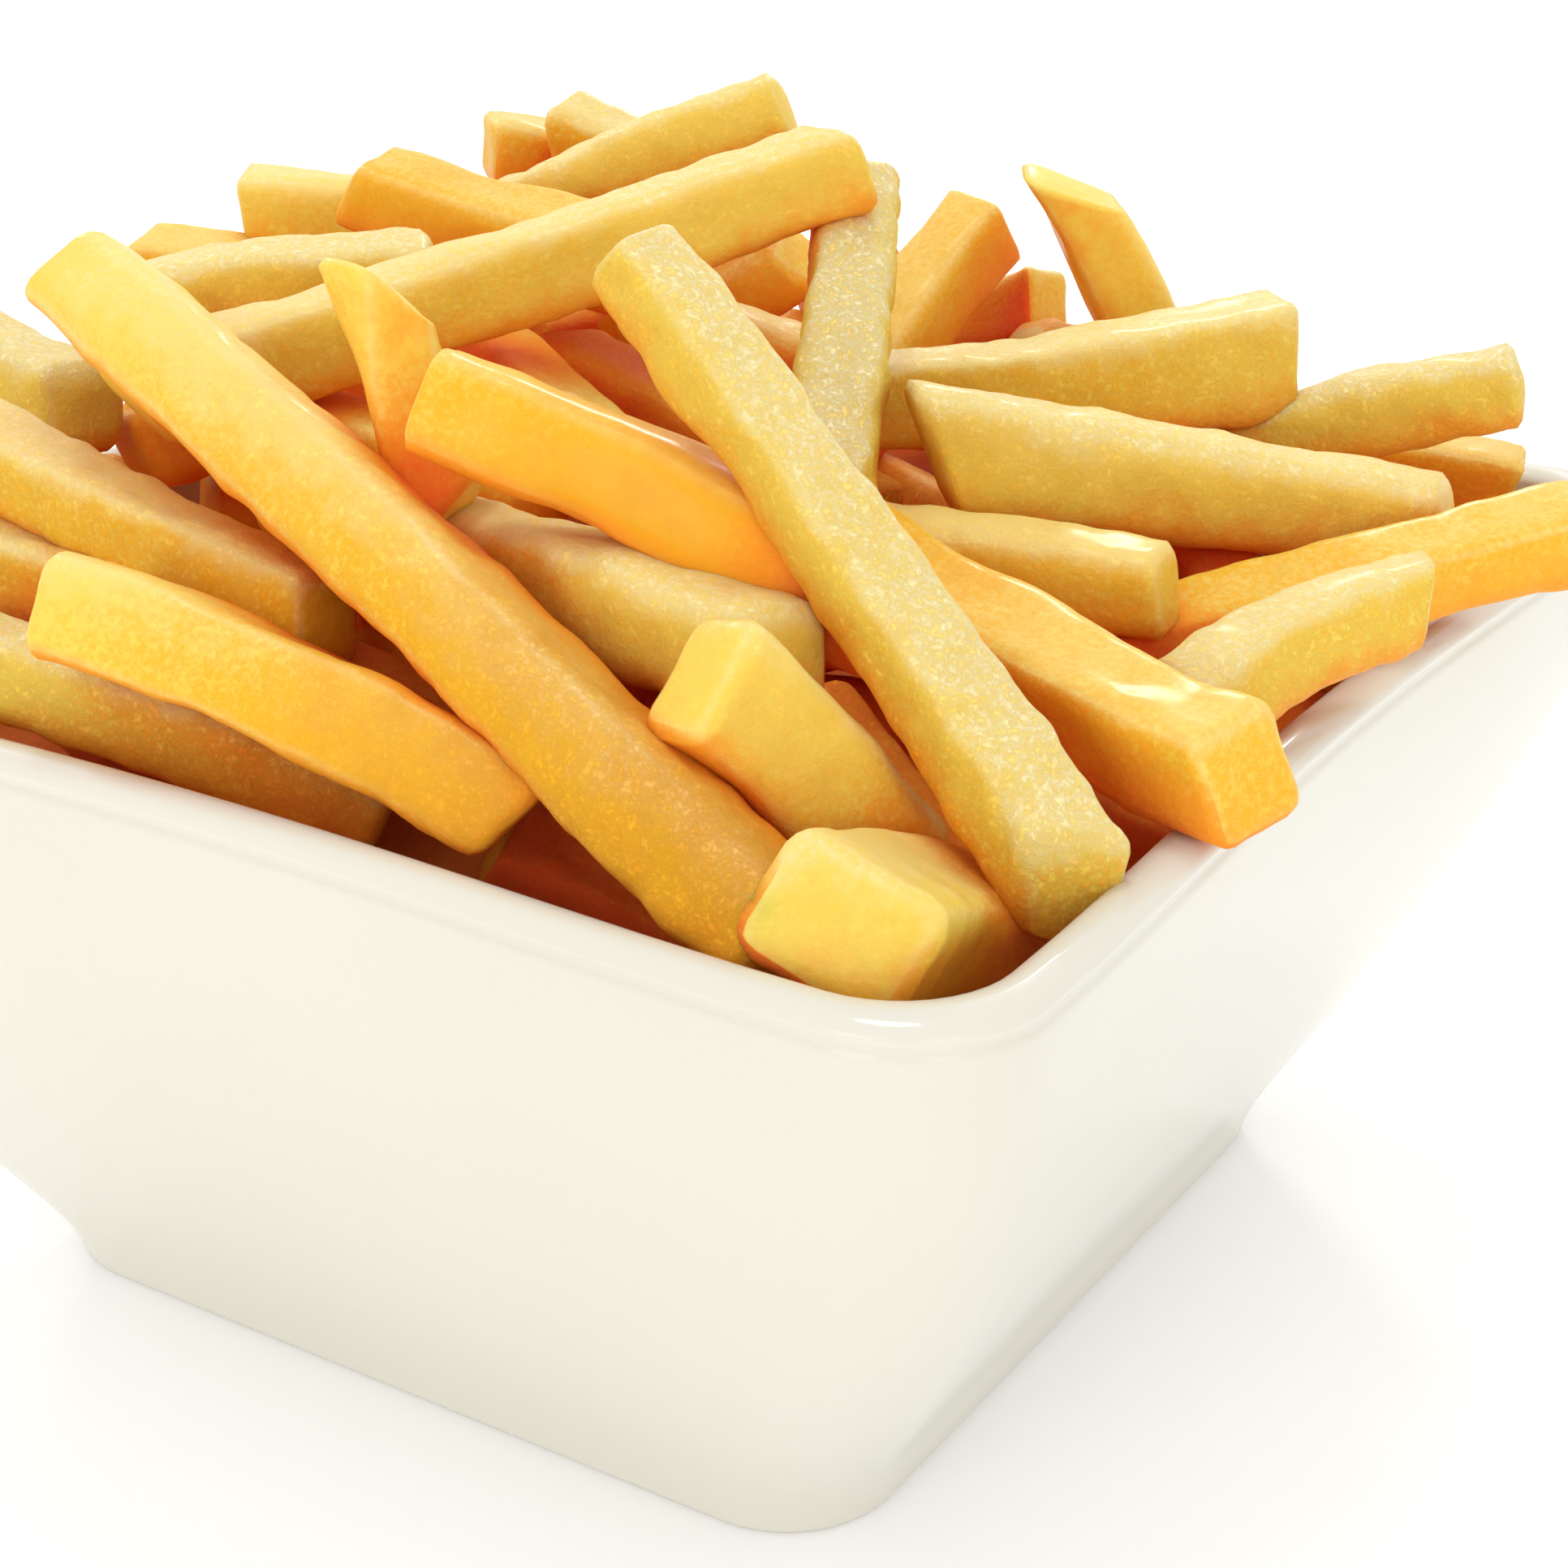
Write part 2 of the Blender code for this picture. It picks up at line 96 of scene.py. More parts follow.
# The fries on the outside of the heap, in millimetres: start, end, thickness, and in what each one
# differs from the usual ones below.
LAID = (
    # on top, across the front
    ((-35, -39, 98), (52, -62, 66), 8.3, dict(
        turn=33, twist=-12, bow=(0, 1.5), wide=1.25, tall=1.1, taper=(1, 1), crust=(0.1, 0.9),
        tone=(-0.2, 2.0), start_cut=(0.1, 0.3), end_cut=(0, 0), trim=(1, -1))),
    ((21, -35, 106), (66, -46, 68), 7.6, dict(
        turn=-8, twist=0, crust=0.75, tone=(-0.1, 0.1), wide=0.98, tall=1.02, taper=(0.88, 1.05),
        bow=(0, 0), start_cut=(0.1, 0.1), end_cut=(0.5, 0.6), trim=(0, -2), lift=0.2)),
    ((-29, -40, 87), (14, 9, 104), 8.4, dict(
        turn=0, twist=0, crust=0.5, tone=(0.4, -0.1), lift=0.3, end_cut=(-0.5, 0.1))),
    ((9, -46, 95), (45, -35, 80), 8.4, dict(
        turn=10, round=0.45, wide=1.2, tall=1.2, crust=0.1, tone=(0.8, 1.8), lift=0.22)),
    ((-8, -36, 78), (45, -47, 79), 8.0, dict(
        turn=5, wide=1.2, tall=1.25, crust=0.6, tone=(0.3, 0.0), lift=0.4, end_cut=(0, 0.1),
        trim=(0, 3))),
    ((1, -42, 103), (7, -40, 83), 7.2, dict(
        turn=20, crust=0.0, tone=0.15, taper=(0.85, 1.2), start_cut=(0.1, 1.25), lift=0.15)),
    # in the near corner
    ((41, -55, 81), (50, -42, 62), 7.8, dict(
        turn=8, crust=0.3, tone=(-0.2, 0.4), wide=1.05, tall=1.4, lift=0.4, start_cut=(0.1, -0.1),
        trim=(-1.5, 0))),
    ((58, -62, 69), (60, -36, 59), 9.0, dict(
        turn=-16, twist=15, round=0.3, crust=(0.3, 0.6), tone=(0.0, 1.2), taper=(1.08, 0.85),
        wide=1.32, tall=1.05, bow=(-2, 0), start_cut=(0.1, 0.1), trim=(-3, 0), lift=0.2)),
    ((50, -28, 65), (64, -16, 57), 7.6, {}),
    ((33, -29, 68), (52, -33, 58), 7.6, {}),
    # along the front side
    ((-48, -45, 84), (2, -50, 76), 8.0, dict(crust=0.7, tone=(0.3, 1.1), lift=0.3)),
    ((-46, -52, 76), (14, -48, 67), 8.0, dict(crust=0.8, tone=(0.4, 1.2), wide=1.2, lift=0.1)),
    ((-15, -62, 78), (28, -59, 68), 8.2, dict(
        turn=30, crust=(0.1, 0.6), tone=(0.0, 2.0), wide=1.3, tall=1.05, taper=(1.05, 0.95),
        start_cut=(0, 0))),
    ((-33, -63, 72), (9, -53, 61), 8.2, dict(crust=0.8, tone=(-0.2, 0.6), lift=0.22)),
    ((-70, -24, 84), (-48, -26, 80), 8.0, dict(crust=0.8, tone=-0.3, lift=0.6)),
    ((19, -53, 62), (40, -52, 56), 7.6, {}),
    # along the right side
    ((12, 4, 83), (43, 42, 84), 8.0, dict(
        turn=0, wide=1.1, tall=1.25, round=0.22, end_cut=(0.2, -0.1), taper=(0.8, 1.15), crust=0.6,
        tone=(0.3, 0.2), lift=0.45)),
    ((30, 35, 71), (65, 46, 83), 7.6, dict(end_cut=(0, 0), tone=(0.3, -0.1), lift=0.25)),
    ((28, -3, 83), (67, 28, 74), 8.4, dict(
        turn=0, wide=1.15, tall=1.25, taper=(1.1, 0.8), crust=0.6, tone=(-0.2, 0.2),
        start_cut=(0, -0.6), lift=0.5)),
    ((21, -10, 76), (55, -7, 76), 8.0, dict(tone=0.5, lift=0.3, round=0.4)),
    ((40, -16, 67), (78, 28, 76), 7.6, dict(crust=0.25, tone=(1.1, 0.8), wide=1.2)),
    ((62, -22, 71), (74, 2, 77), 7.4, dict(tone=0.3, lift=0.15)),
    ((28, -16, 77), (72, -32, 73), 8.4, dict(
        crust=0.3, tone=(1.3, 0.7), lift=0, end_cut=(0, 0.4), trim=(0, -2))),
    # on top, towards the back and the left
    ((-51, -19, 88), (-20, -8, 93), 7.6, dict(tone=-0.1, lift=0.3)),
    ((-60, 9, 92), (-34, 14, 90), 8.0, dict(tone=0.2, lift=0.3)),
    ((-43, 7, 97), (-3, 8, 92), 8.6, dict(crust=0.3, tone=(1.1, 0.8), wide=1.15)),
    ((-46, 32, 96), (-34, 43, 91), 7.0, {}),
    ((-38, 35, 98), (-18, 38, 92), 7.4, {}),
    ((-35, 19, 92), (-7, 30, 104), 7.8, dict(
        crust=0.6, tone=-0.2, lift=0.2, end_cut=(0, 0.1), trim=(0, -1))),
    ((-19, 20, 80), (-5, 33, 90), 7.6, {}),
    ((-68, 0, 87), (-50, 6, 85), 7.2, {}),
    # standing up between the others
    ((11, 14, 99), (26, -15, 81), 7.6, dict(
        crust=1, tone=0.1, start_cut=(0, 0), trim=(-2.5, 0), lift=0.1)),
    ((6, 50, 91), (2, 22, 70), 7.6, {}),
    ((-10, 64, 72), (11, 55, 82), 7.6, {}),
    ((18, 45, 96), (28, 60, 63), 7.8, dict(
        crust=0, tone=(-0.1, 0.3), start_cut=(0, 1.2), trim=(-2.5, 0), lift=0.35)),
    # deeper, in the gaps
    ((-20, -27, 83), (2, -22, 76), 7.6, {}),
    ((-15, -8, 86), (26, -24, 75), 7.6, {}),
    ((-3, 9, 86), (14, 20, 79), 7.6, {}),
    ((-46, 43, 84), (-18, 35, 86), 8.0, {}),
    ((31, 61, 66), (61, 62, 68), 7.4, {}),
    # over the lip, at the back and the left
    ((-3, 40, 84), (-30, 77, 72), 8.0, dict(turn=20)),
    ((-42, 24, 82), (-78, 14, 72), 7.6, {}),
    ((11, 45, 78), (27, 78, 72), 7.8, dict(turn=10)),
)

# Further fries are dropped one by one on a grid of heights, and stay where they find room.
SEED = 3
TRIES = 20000
SHORT_FROM = 0.6  # after this share of the tries the fries are shorter
SHORTER = 0.62
FRY_LONG = (34 * MM, 78 * MM)
FRY_THICK = (6.8 * MM, 8.6 * MM)
FRY_STEPS = 13
DEEP = 34 * MM  # how far the first ones lie under the heap's surface, and under the lip
EDGE_DEEP = 15 * MM
DROP_AREA = 70 * MM
OVER_TOP = 4 * MM  # how far one may stand out of the heap
OVER_LIP = 66 * MM  # and how far from the middle it may lie where it is above the lip
STEEPEST = 0.6
RESTS_ON = 0.4  # it rests on what lies this far to either side of its middle line, in thicknesses
SHOULDER_FROM = 0.3  # from here outwards its top counts as lower, in thicknesses
SHOULDER = 0.8  # and this is how much is left of its half thickness there
CLEAR_OVER = 8 * MM  # seen from above, none comes nearer to a laid fry's middle line than this
CLEAR_UNDER = 3 * MM  # unless it lies at least this much deeper
CLOSEST = 0.9  # how near the two middle lines may come, in thicknesses
GRID_CELL = 2 * MM
GRID_HALF = 80 * MM

# How a fry is cut and how its skin has fried
GRAIN = 0.85 * MM  # mesh size along a fry
ACROSS = 10  # and the number of faces across one of its sides
END_ROUND = 0.12  # radius of the edges round its cut ends, as a share of its thickness
CUT_REACH = 3  # how far from its end a slanted cut pulls at the skin, in thicknesses
CUT_BACK = 0.3  # how much more a cut takes from the fry than it adds
WAVE_LONG = 11 * MM  # slow waves in its sides, and their height
WAVE = 0.7 * MM
BUMP_LONG = 3.5 * MM  # bumps, their height on a smooth skin, and what a full crust adds to it
BUMP = 0.18 * MM
BUMP_CRUST = 0.24 * MM
BLISTER_LONG = 2.6 * MM  # blisters of a full crust, and their height
BLISTER = 0.28 * MM
BLISTER_WIDE = 1.5  # the higher, the further apart they stand
BLISTER_FULL = 0.7  # under 1: blunt at the top

# How hidden a fry's skin is: where little light reaches, painted shade turns its colour orange to red
STATIONS = 24  # places along a fry, and around it, where what hides it is measured
AROUND = 12
FIRST_STATION = 0.02  # as a share of its length; the last is as far from its other end
OFF_SKIN = 0.6  # how far they are from the middle line, in thicknesses
OFF_POINT = 0.5 * MM
RAYS = 32
RAY_LONG = 30 * MM
FAR_LESS = 0.5  # how much less is hidden by what is a whole ray away than by what touches
CAP_SHARE = 0.5  # a cut end gets this share of a side's painted shade, as it has browned less
FROM_ABOVE = np.array([0, 0, 0.5])  # what hides the light from above counts most
SMOOTHINGS = 2
BAR_CUTS = 5
ON_CAP = 0.999  # from here on a point of the cube's grid is on a fry's cut end

# Finishes: base colours, in linear light
PALE = (0.89, 0.62, 0.090)
GOLDEN = (0.88, 0.455, 0.016)
# cream: a painted highlight on faces up, and the colour of the edges
CREAM = (0.92, 0.78, 0.41)
BROWNED = (0.74, 0.32, 0.014)
# painted shade: the orange of faces turned down and of hidden places
PAINTED_SHADE_ORANGE = (0.93, 0.33, 0.022)
# painted shade: the red of hidden places between fries
PAINTED_SHADE_RED = (0.93, 0.13, 0.030)
# painted shade: the deep red-orange of fries in shade, on the core
CORE_SHADE_DARK = (0.93, 0.20, 0.04)
CORE_SHADE_LIGHT = (0.95, 0.38, 0.06)
GLAZE_DARK = (0.675, 0.647, 0.55)
GLAZE_LIGHT = (0.70, 0.677, 0.595)
FLOOR_DARK = (0.93, 0.93, 0.925)
FLOOR_LIGHT = (0.95, 0.95, 0.945)
WHITE = (1, 1, 1, 1)

# Fried skin: clouds to the metre, detail and roughness of its three patterns, and what each one
# adds to its tone or takes away at most
PATCH_NOISE = (90, 3, 0.5)
MOTTLE_NOISE = (420, 3, 0.6)
SPECK_NOISE = (1500, 6, 0.75)
PATCHES = 0.16
MOTTLE = 0.14
SPECKS = 0.32

# Where each change of the skin starts and ends, and how strong it is at both
# painted light: faces up are paler and take cream
LIT_FACES_UP = (0.3, 1.0, 0, 1)
# painted shade: faces turned down go orange
SHADE_FACES_DOWN = (-0.8, 0.12, 0.9, 0)
# painted highlight: cream specks on crusty faces up
SPECKS_ON_LIT_TOPS = (-0.22, 0.22, 0.4, 1)
# cream towards the long edges
EDGES_CREAM = (0.08, 0.28, 0, 0.2)
BROWNS = (0.9, 2.1, 0, 0.8)
# painted shade: orange, then red, where other fries and the dish hide the skin
SHADE_TO_ORANGE = (0.14, 0.52, 0, 0.95)
SHADE_TO_RED = (0.42, 0.82, 0, 0.92)
STAYS_OILY = (0.05, 0.45, 0.25, 0)

# Lights: name, place, size in metres and power in watts; all face a point over the dish
LIGHTS = (
    ("key", (-0.1, 0.1, 0.9), 0.25, 1.3),
    ("back", (-0.31, 0.8, 0.485), 0.16, 1.5),
    ("front", (0.0, -1.0, 0.3), 0.6, 1.6),
    ("left", (-0.8, 0.3, 0.6), 0.22, 0.9),
    ("side", (0.9, -0.6, 0.3), 0.6, 1.2),
)
LIGHTS_FACE = (0, 0, 80 * MM)
FLOOR_HALF = 3  # half side, in metres
FLOOR_GLOW = 0.08
WORLD_STRENGTH = 1.0

# Camera
EYE_PLACE = (0.14663, -0.21016, 0.15341)
EYE_TILT = 66.83  # degrees from straight down
EYE_TURN = 32.55  # degrees about Z
EYE_LENS = 65.4  # focal length, and width of the frame behind it, in millimetres
EYE_SENSOR = 36


def usual(dice):
    """What a fry is like where nothing sets it apart: each one comes out a little different."""
    crust, tone = dice.uniform(0.15, 0.9), dice.uniform(0.4, 1.0)
    return dict(
        turn=dice.uniform(-12, 12),  # degrees about its own length; 0 has a flat side up
        wide=dice.uniform(1.04, 1.2),  # its width and height, as shares of its thickness
        tall=dice.uniform(0.98, 1.14),
        taper=(dice.uniform(0.88, 1.03), dice.uniform(0.88, 1.03)),  # thickness at its start and end
        bow=(dice.uniform(-1.2, 1.2), dice.uniform(-0.8, 1.2)),  # how far its middle stands out, in mm
        twist=dice.uniform(-18, 18),  # degrees from end to end
        start_cut=tuple(dice.uniform(-0.55, 0.55, 2)),  # slope of the cut, sideways and up
        end_cut=tuple(dice.uniform(-0.55, 0.55, 2)),
        round=dice.uniform(0.24, 0.38),  # radius of its long edges, as a share of its thickness
        lift=0,  # how much less painted shade it gets than its place gives
        trim=(0, 0),  # how much shorter it is at its start and end, in millimetres
        hollow=dice.uniform(0.0, 0.4),  # how far its sides have sunk in, in millimetres
        crust=(crust, crust + dice.uniform(-0.2, 0.2)),  # 0 a smooth cut, 1 blistered all over
        tone=(tone, tone + dice.uniform(-0.3, 0.3)),  # 0 pale, 1 deep golden, at its start and end
    )


# ---- How the fries lie, as in the solids --------------------------------------------------------


def heap_surface(x, y):
    """Height of the heap's even surface; x and y may be arrays."""
    away = ((x - HEAP_MIDDLE[0]) ** 2 + (y - HEAP_MIDDLE[1]) ** 2) / HEAP_REACH**2
    return DISH_HEIGHT + np.maximum(HEAP_TOP * (1 - away), EDGE_TOP)


def room_half(z):
    """Half side of the room inside the dish at each height; above the lip, that of the lip."""
    up = np.clip((z - FOOT_HEIGHT) / (DISH_HEIGHT - FOOT_HEIGHT), 0, 1)
    lean = 1 - (1 - up) ** FLARE_POWER
    half = BASE_SIDE / 2 + (RIM_SIDE - BASE_SIDE) / 2 * lean
    return half - np.where(z < DISH_HEIGHT, WALL + SIDE_HOLLOW * up, 0)


def along(start, end):
    """Points along a fry."""
    share = np.linspace(0, 1, FRY_STEPS)[:, None]
    return np.array(start) * (1 - share) + np.array(end) * share


def empty_ground():
    """What the first further fries fall on: a mound inside the dish, its lip, and nothing outside."""
    line = np.arange(-GRID_HALF, GRID_HALF + GRID_CELL / 2, GRID_CELL)
    x, y = np.meshgrid(line, line, indexing="ij")
    edge = np.maximum(abs(x), abs(y))
    ground = np.maximum(heap_surface(x, y) - DEEP, DISH_HEIGHT - EDGE_DEEP)
    ground = np.where(edge > room_half(DISH_HEIGHT - MM), DISH_HEIGHT, ground)
    return np.where(edge > RIM_SIDE / 2, -GRID_HALF, ground)


def cells(x, y):
    """Rows and columns of the grid for points on the ground."""
    last = round(2 * GRID_HALF / GRID_CELL)
    return tuple(np.clip(np.rint((v + GRID_HALF) / GRID_CELL).astype(int), 0, last) for v in (x, y))


def drop(ground, x, y, turn, length, thick):
    """Start, end and slope of a fry that comes to rest on the ground's highest points under it."""
    step = np.linspace(-length / 2, length / 2, int(length / GRID_CELL) | 1)
    way = np.array([math.cos(turn), math.sin(turn)])
    under = np.full(step.shape, -GRID_HALF)
    for side in (-RESTS_ON * thick, 0, RESTS_ON * thick):
        at = cells(x + way[0] * step - way[1] * side, y + way[1] * step + way[0] * side)
        under = np.maximum(under, ground[at])
    under += thick / 2
    half = len(step) // 2
    near, far = step[:half, None], step[None, half + 1 :]
    low, high = under[:half, None], under[None, half + 1 :]
    middle = (low * far - high * near) / (far - near)
    a, b = np.unravel_index(np.argmax(middle), middle.shape)
    slope = (high[0, b] - low[a, 0]) / (far[0, b] - near[a, 0])
    reach = np.array([*way, slope]) * length / 2 / math.hypot(1, slope)
    centre = np.array([x, y, max(middle[a, b], under[half])])
    return centre - reach, centre + reach, slope


def raise_ground(ground, start, end, thick):
    """Raises the ground to the top of a fry that has come to rest."""
    length = np.linalg.norm(end - start)
    share = np.linspace(0, 1, int(length / MM) + 1)[:, None]
    points = start * (1 - share) + end * share
    way = (end - start)[:2] / np.linalg.norm((end - start)[:2])
    for side in np.linspace(-0.5, 0.5, 5) * thick:
        at = cells(points[:, 0] - way[1] * side, points[:, 1] + way[0] * side)
        shoulder = 1.0 if abs(side) < SHOULDER_FROM * thick else SHOULDER
        np.maximum.at(ground, at, points[:, 2] + shoulder * thick / 2)


def has_room(points, thick, laid, laid_thick):
    """Whether a dropped fry is inside the heap, beside the laid ones and not on them."""
    x, y, z = points.T
    side = np.where(z > DISH_HEIGHT + thick / 2 - MM, OVER_LIP, room_half(z) - thick / 2)
    if (np.maximum(abs(x), abs(y)) > side).any():
        return False
    if (z + thick / 2 > heap_surface(x, y) + OVER_TOP).any():
        return False
    apart = points[:, None, None] - laid[None]
    seen_near = np.hypot(apart[..., 0], apart[..., 1]) < CLEAR_OVER
    if (seen_near & (apart[..., 2] > -CLEAR_UNDER)).any():
        return False
    near = np.linalg.norm(apart, axis=-1).min(axis=(0, 2))
    return (near >= (laid_thick + thick) / 2 * CLOSEST).all()


def further_fries(laid, laid_thick):
    """The fries under and between the laid ones."""
    dice = np.random.default_rng(SEED)
    ground, found = empty_ground(), []
    for number in range(TRIES):
        length = dice.uniform(*FRY_LONG) * (1 if number < TRIES * SHORT_FROM else SHORTER)
        thick = dice.uniform(*FRY_THICK)
        x, y = dice.uniform(-DROP_AREA, DROP_AREA, 2)
        turn, roll = dice.uniform(0, math.pi), dice.uniform(-30, 30)
        start, end, slope = drop(ground, x, y, turn, length, thick)
        if abs(slope) < STEEPEST and has_room(along(start, end), thick, laid, laid_thick):
            raise_ground(ground, start, end, thick)
            found.append((start, end, thick, dict(turn=roll)))
    return found


def laid_fries():
    """The rows of the table, in metres."""
    return [(np.array(a) * MM, np.array(b) * MM, thick * MM, own) for a, b, thick, own in LAID]


# ---- The shape of a fry -------------------------------------------------------------------------


def blank(length):
    """A bar of side 2 in even squares, as many along it as its length needs."""
    bm = bmesh.new()
    bmesh.ops.create_cube(bm, size=2)
    for axis, parts in ((2, round(length / GRAIN)), (0, ACROSS), (1, ACROSS)):
        edges = [e for e in bm.edges if abs(e.verts[0].co[axis] - e.verts[1].co[axis]) > 0]
        bmesh.ops.subdivide_edges(bm, edges=edges, cuts=parts - 1, use_grid_fill=True)
    return bm


def ripple(points, size, shift):
    """Smooth noise from -1 to 1 over points, with bumps of the given size."""
    return np.array([noise.noise(Vector(p) / size + shift) for p in points])


def domes(points, size, shift):
    """Round blisters of the given size, 0 between them and 1 at their tops."""
    near = np.array([noise.voronoi(Vector(p) / size + shift)[0][0] for p in points])
    return np.clip(1 - near * BLISTER_WIDE, 0, 1) ** BLISTER_FULL


def between(ends, share):
    """The value at this share of the way from one end to the other."""
    return ends[0] * (1 - share) + ends[1] * share


class Fry:
    """One fry: where it lies and how it is cut."""

    def __init__(self, start, end, thick, own, number):
        self.__dict__.update({**usual(np.random.default_rng(number)), **own})
        self.start, self.end, self.thick = np.array(start), np.array(end), thick
        way = (self.end - self.start) / np.linalg.norm(self.end - self.start)
        self.start = self.start + way * self.trim[0] * MM
        self.end = self.end - way * self.trim[1] * MM
        self.length = np.linalg.norm(self.end - self.start)
        self.shift = Vector((number * 7.3, number * 3.1, 0))  # so that no two have the same bumps
        self.crust, self.tone = np.broadcast_to(self.crust, 2), np.broadcast_to(self.tone, 2)

    def centre(self, share):
        """Points on its middle line, which bows out most halfway, and two directions across it."""
        way = (self.end - self.start) / self.length
        side = np.cross(way, (0, 0, 1))
        side /= np.linalg.norm(side)
        up = np.cross(side, way)
        out = (side * self.bow[0] + up * self.bow[1]) * MM
        share = share[:, None]
        line = self.start + (self.end - self.start) * share + out * 4 * share * (1 - share)
        lean = way * self.length + out * 4 * (1 - 2 * share)
        lean /= np.linalg.norm(lean, axis=1)[:, None]
        side = np.cross(lean, (0, 0, 1))
        side /= np.linalg.norm(side, axis=1)[:, None]
        return line, side, np.cross(side, lean)

    def place(self, points):
        """Moves points from the fry's own bar, which stands on Z, to where it lies."""
        share = points[:, 2] / self.length + 0.5
        angle = np.radians(self.turn + self.twist * (share - 0.5))
        x = points[:, 0] * np.cos(angle) - points[:, 1] * np.sin(angle)
        y = points[:, 0] * np.sin(angle) + points[:, 1] * np.cos(angle)
        line, side, up = self.centre(share)
        return line + side * x[:, None] + up * y[:, None]

    def cut_ends(self, points, half):
        """Slants both ends to their cuts, which take more from the fry than they add."""
        from_end = self.length / 2 - abs(points[:, 2])
        reach = min(CUT_REACH * self.thick, self.length / 2)
        weight = np.clip(1 - from_end / reach, 0, 1) ** 2
        at_start = points[:, 2] < 0
        slope = np.where(at_start[:, None], self.start_cut, self.end_cut)
        back = (slope * points[:, :2] + CUT_BACK * abs(slope) * half[:2]).sum(axis=1) * weight
        points[:, 2] += np.where(at_start, back, -back)
        return points

    def skin(self, grid):
        """The fry's surface over a grid on a cube of side 2, and how near its points are to an edge."""
        half = np.array([self.wide, self.tall, 0]) * self.thick / 2
        half[2] = self.length / 2
        points = grid.copy()
        points[:, :2] = np.sin(points[:, :2] * math.pi / 2)
        points *= half
        round_by = np.array([self.round, self.round, END_ROUND]) * self.thick
        inner = np.clip(points, round_by - half, half - round_by)
        normal = (points - inner) / round_by
        normal /= np.linalg.norm(normal, axis=1)[:, None]
        points = inner + normal * round_by
        edge = 1 - abs(normal).max(axis=1)
        share = (points[:, 2:] / self.length + 0.5).clip(0, 1)
        off_middle = np.sort(abs(points[:, :2] / half[:2]), axis=1)[:, :1]  # 0 to 1 across a side
        points[:, :2] -= normal[:, :2] * (1 - off_middle**2) * self.hollow * MM
        points[:, :2] *= between(self.taper, share)
        crust = between(self.crust, share[:, 0])
        wave = ripple(points, WAVE_LONG, self.shift) * WAVE
        bump = ripple(points, BUMP_LONG, self.shift) * (BUMP + BUMP_CRUST * crust)
        blister = domes(points, BLISTER_LONG, self.shift) * BLISTER * crust
        points += normal * (wave + bump + blister)[:, None]
        return self.place(self.cut_ends(points, half)), edge


def coarse_bar(fry):
    """A plain bar along the fry, to see what hides what."""
    bm = bmesh.new()
    bmesh.ops.create_cube(bm, size=2)
    long_edges = [e for e in bm.edges if abs(e.verts[0].co.z - e.verts[1].co.z) > 0]
    bmesh.ops.subdivide_edges(bm, edges=long_edges, cuts=BAR_CUTS)
    grid = np.array([v.co for v in bm.verts])
    half = np.array([fry.wide * fry.thick / 2, fry.tall * fry.thick / 2, fry.length / 2])
    for v, co in zip(bm.verts, fry.place(grid * half)):
        v.co = co
    return bm


def hidden_from(tree, dice, point, normal):
    """How much of what a point faces is hidden by something near."""
    ways = dice.normal(size=(RAYS, 3))
    ways = ways / np.linalg.norm(ways, axis=1)[:, None] + normal + FROM_ABOVE
    at = Vector(point + normal * OFF_POINT)
    hits = [tree.ray_cast(at, Vector(way).normalized(), RAY_LONG)[3] for way in ways]
    return np.mean([0 if hit is None else 1 - FAR_LESS * hit / RAY_LONG for hit in hits])


def occlusion_for_shade(fry, tree, dice):
    """How much is hidden at places along and around a fry, and at its two ends."""
    share = np.repeat(np.linspace(FIRST_STATION, 1 - FIRST_STATION, STATIONS), AROUND)
    angle = np.tile(np.arange(AROUND) * 2 * math.pi / AROUND, STATIONS)
    across = np.stack([np.cos(angle) * fry.wide, np.sin(angle) * fry.tall], axis=1)
    across *= fry.thick * OFF_SKIN
    points = fry.place(np.column_stack([across, (share - 0.5) * fry.length]))
    middle = fry.place(np.column_stack([across * 0, (share - 0.5) * fry.length]))
    out = points - middle
    out /= np.linalg.norm(out, axis=1)[:, None]
    hidden = np.array([hidden_from(tree, dice, *pair) for pair in zip(points, out)])
    hidden = hidden.reshape(STATIONS, AROUND)
    for _ in range(SMOOTHINGS):
        hidden = (hidden * 2 + np.roll(hidden, 1, axis=1) + np.roll(hidden, -1, axis=1)) / 4
        ends = np.vstack([hidden[:1], hidden, hidden[-1:]])
        hidden = (hidden * 2 + ends[:-2] + ends[2:]) / 4
    way = (fry.end - fry.start) / fry.length
    caps = [CAP_SHARE * hidden_from(tree, dice, fry.start - way * MM, -way)]
    caps.append(CAP_SHARE * hidden_from(tree, dice, fry.end + way * MM, way))
    return hidden, caps


def felt(grid, hidden, caps):
    """Occlusion at each point of a fry's grid, for its painted shade."""
    along_by = np.clip((grid[:, 2] + 1) / 2, 0, 1) * (STATIONS - 1)
    around_by = np.arctan2(grid[:, 1], grid[:, 0]) / (2 * math.pi) % 1 * AROUND
    low, left = np.floor(along_by).astype(int), np.floor(around_by).astype(int)
    high, right = np.minimum(low + 1, STATIONS - 1), (left + 1) % AROUND
    up, over = along_by - low, around_by - left
    left %= AROUND
    at_low = between((hidden[low, left], hidden[low, right]), over)
    at_high = between((hidden[high, left], hidden[high, right]), over)
    side = between((at_low, at_high), up)
    outward = abs(grid[:, :2]).max(axis=1) ** 3
    cap = np.where(grid[:, 2] < 0, *caps)
    return np.where(abs(grid[:, 2]) > ON_CAP, cap + (side - cap) * outward, side)


